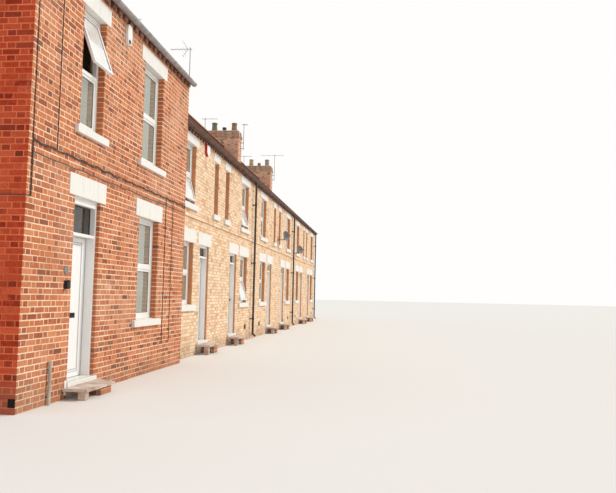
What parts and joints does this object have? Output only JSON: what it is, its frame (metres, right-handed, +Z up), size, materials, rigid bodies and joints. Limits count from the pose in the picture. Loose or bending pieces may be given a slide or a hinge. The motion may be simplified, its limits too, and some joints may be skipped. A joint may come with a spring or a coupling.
{
  "type": "terraced house row",
  "caption": "Brick terraced house row: a tall end house and handed lower houses with white lintels, sills and doors, tiled roofs, chimneys and gutters",
  "frame": {"origin": "On the base of the party wall between the first two handed pairs, half way through the depth of the lower houses", "axes": "+X runs along the row away from the tall end house, +Y runs from the street fronts to the rear, +Z is up"},
  "size_m": [33.02, 7.6609, 10.87],
  "materials": {
    "brick": "fired clay brick in lime mortar",
    "roof_tile": "weathered plain tile",
    "clay": "unglazed clay",
    "painted_stone": "masonry paint",
    "grey_stone": "worn stone",
    "floor_wood": "boards",
    "white_plastic": "smooth",
    "grey_plastic": "weathered",
    "black_plastic": "weathered gloss",
    "glass": "clear",
    "grey_metal": "painted",
    "black_metal": "painted",
    "aluminium": "dull"
  },
  "bodies": {
    "house": {"end_front_wall_left": "brick", "end_front_wall_right": "brick", "end_front_wall_upper": "brick", "end_gable_wall": "brick", "end_rear_wall": "brick", "end_party_wall": "brick", "end_floors": "floor_wood", "end_roof": "roof_tile", "row_front_wall_lower": "brick", "row_front_wall_upper": "brick", "row_rear_wall": "brick", "row_party_walls": "brick", "row_end_wall": "brick", "row_floors": "floor_wood", "row_roof": "roof_tile", "ridge_tiles": "clay", "eaves_dentils": "brick", "string_course": "brick", "window_lintels": "painted_stone", "door_lintels": "painted_stone", "window_sills": "painted_stone", "window_frames": "white_plastic", "window_glass": "glass", "open_lights": "white_plastic", "door_jambs": "white_plastic", "door_heads": "white_plastic", "fanlights": "glass", "door_thresholds": "painted_stone", "door_steps": "grey_stone", "chimney_stacks": "brick", "chimney_pots": "clay", "gutters": "grey_plastic", "downpipes": "black_plastic", "alarm_boxes": "white_plastic", "satellite_dishes": "grey_metal", "tv_aerials": "aluminium", "wall_lantern": "black_metal", "wall_cables": "black_plastic"},
    "door_0": {"front_door_0": "white_plastic"},
    "door_1": {"front_door_1": "white_plastic"},
    "door_2": {"front_door_2": "white_plastic"},
    "door_3": {"front_door_3": "white_plastic"},
    "door_4": {"front_door_4": "white_plastic"},
    "door_5": {"front_door_5": "white_plastic"},
    "door_6": {"front_door_6": "white_plastic"}
  },
  "joints": [
    {"name": "door_0_hinge", "type": "hinge", "parent": "house", "child": "door_0", "pos_m": [-12.7135, -3.429, 1.21], "axis": [0, 0, -1], "range_deg": [0, 90]},
    {"name": "door_1_hinge", "type": "hinge", "parent": "house", "child": "door_1", "pos_m": [-5.7135, -3.199, 1.2925], "axis": [0, 0, -1], "range_deg": [0, 90]},
    {"name": "door_2_hinge", "type": "hinge", "parent": "house", "child": "door_2", "pos_m": [-3.3865, -3.199, 1.2925], "axis": [0, 0, 1], "range_deg": [0, 90]},
    {"name": "door_3_hinge", "type": "hinge", "parent": "house", "child": "door_3", "pos_m": [3.3865, -3.199, 1.2925], "axis": [0, 0, -1], "range_deg": [0, 90]},
    {"name": "door_4_hinge", "type": "hinge", "parent": "house", "child": "door_4", "pos_m": [5.7135, -3.199, 1.2925], "axis": [0, 0, 1], "range_deg": [0, 90]},
    {"name": "door_5_hinge", "type": "hinge", "parent": "house", "child": "door_5", "pos_m": [12.4865, -3.199, 1.2925], "axis": [0, 0, -1], "range_deg": [0, 90]},
    {"name": "door_6_hinge", "type": "hinge", "parent": "house", "child": "door_6", "pos_m": [14.8135, -3.199, 1.2925], "axis": [0, 0, 1], "range_deg": [0, 90]}
  ]
}
